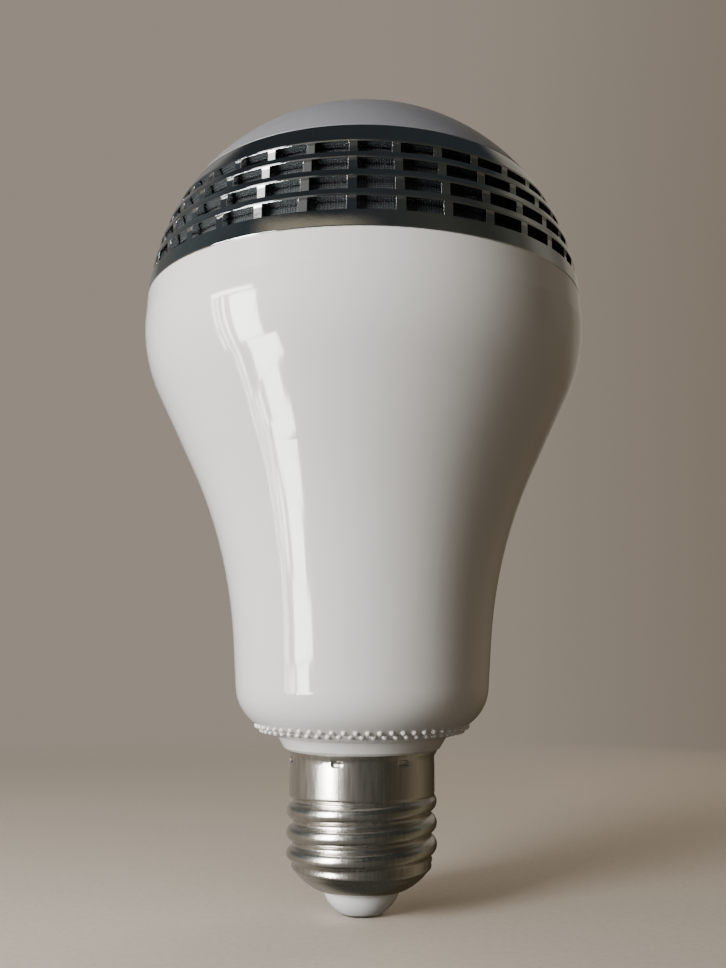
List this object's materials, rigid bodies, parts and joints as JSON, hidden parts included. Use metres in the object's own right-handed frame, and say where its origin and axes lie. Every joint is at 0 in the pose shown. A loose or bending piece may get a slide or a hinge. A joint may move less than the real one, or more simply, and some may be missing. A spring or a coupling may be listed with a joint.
{
  "type": "speaker light bulb",
  "caption": "Screw-in lamp with a frosted dome, a slotted metal ring that lets sound out, and a loudspeaker and radio inside its flared white shell.",
  "frame": {"origin": "middle of the tip contact's lower face", "axes": "+Z along the lamp from the cap to the dome; -Y is the side seen from the front"},
  "size_m": [0.0804, 0.0804, 0.145],
  "materials": {
    "cap_metal": "nickel plated, polished",
    "contact_metal": "plated brass, satin",
    "cap_white": "glossy moulded",
    "shell_white": "high gloss moulded",
    "grille_chrome": "chrome plated",
    "cloth_black": "fine woven",
    "dome_frosted": "frosted, satin gloss",
    "board_white": "white solder mask",
    "led_yellow": "phosphor in white frame",
    "led_clear": "clear resin in white frame",
    "socket_white": "natural nylon",
    "pad_grey": "soft silicone",
    "spreader_aluminium": "brushed",
    "screw_steel": "zinc plated",
    "plate_black": "fine texture",
    "gasket_black": "foam",
    "basket_steel": "black painted",
    "plate_steel": "zinc plated",
    "magnet_ferrite": "sintered",
    "coil_copper": "enamelled wire",
    "former_kapton": "amber film",
    "cone_paper": "pressed paper",
    "roll_rubber": "matt",
    "spider_cloth": "resin-stiffened cloth",
    "board_green": "green solder mask",
    "core_ferrite": "sintered",
    "tape_yellow": "polyester tape",
    "can_aluminium": "sleeved can",
    "can_black": "printed sleeve",
    "chip_black": "moulded epoxy",
    "fuse_ceramic": "painted ceramic",
    "choke_winding": "enamelled wire on ferrite",
    "capacitor_yellow": "moulded box",
    "can_tin": "tinned",
    "track_gold": "gold plated",
    "wire_red": "PVC sleeve",
    "wire_blue": "PVC sleeve",
    "wire_white": "PVC sleeve"
  },
  "bodies": {
    "root": {"tip_contact": "contact_metal", "cap_insulator": "cap_white", "screw_shell": "cap_metal", "housing": "shell_white", "grille_ring": "grille_chrome", "acoustic_cloth": "cloth_black", "diffuser_dome": "dome_frosted", "led_board": "board_white", "thermal_pad": "pad_grey", "heat_spreader": "spreader_aluminium", "white_leds": "led_yellow", "colour_leds": "led_clear", "led_connector": "socket_white", "light_screws": "screw_steel", "baffle_plate": "plate_black", "baffle_screws": "screw_steel", "speaker_gasket": "gasket_black", "speaker_basket": "basket_steel", "terminal_strip": "board_green", "speaker_screws": "screw_steel", "speaker_top_plate": "plate_steel", "speaker_magnet": "magnet_ferrite", "speaker_yoke": "plate_steel", "surround": "roll_rubber", "spider": "spider_cloth", "chassis_plate": "plate_black", "chassis_screws": "screw_steel", "power_board": "board_green", "control_board": "board_green", "transformer_core": "core_ferrite", "transformer_winding": "tape_yellow", "input_capacitor": "can_black", "output_capacitor": "can_black", "filter_choke": "choke_winding", "safety_capacitor": "capacitor_yellow", "fuse_resistor": "fuse_ceramic", "bridge_rectifier": "chip_black", "switching_chip": "chip_black", "radio_module": "board_green", "shield_can": "can_tin", "antenna": "track_gold", "amplifier_chip": "chip_black", "crystal": "can_tin", "audio_capacitors": "can_aluminium", "board_connectors": "socket_white", "live_wire": "wire_red", "neutral_wire": "wire_blue", "dc_wires": "wire_red", "speaker_wires": "wire_white", "led_wires": "wire_white"},
    "cone_assembly": {"voice_coil_former": "former_kapton", "voice_coil": "coil_copper", "speaker_cone": "cone_paper", "dust_cap": "cone_paper"}
  },
  "joints": [
    {"name": "cone_travel", "type": "slide", "parent": "root", "child": "cone_assembly", "axis": [0, 0, 1], "range_m": [-0.0015, 0.0015], "stiffness_N_per_m": 400, "deforming": ["surround", "spider"]}
  ]
}
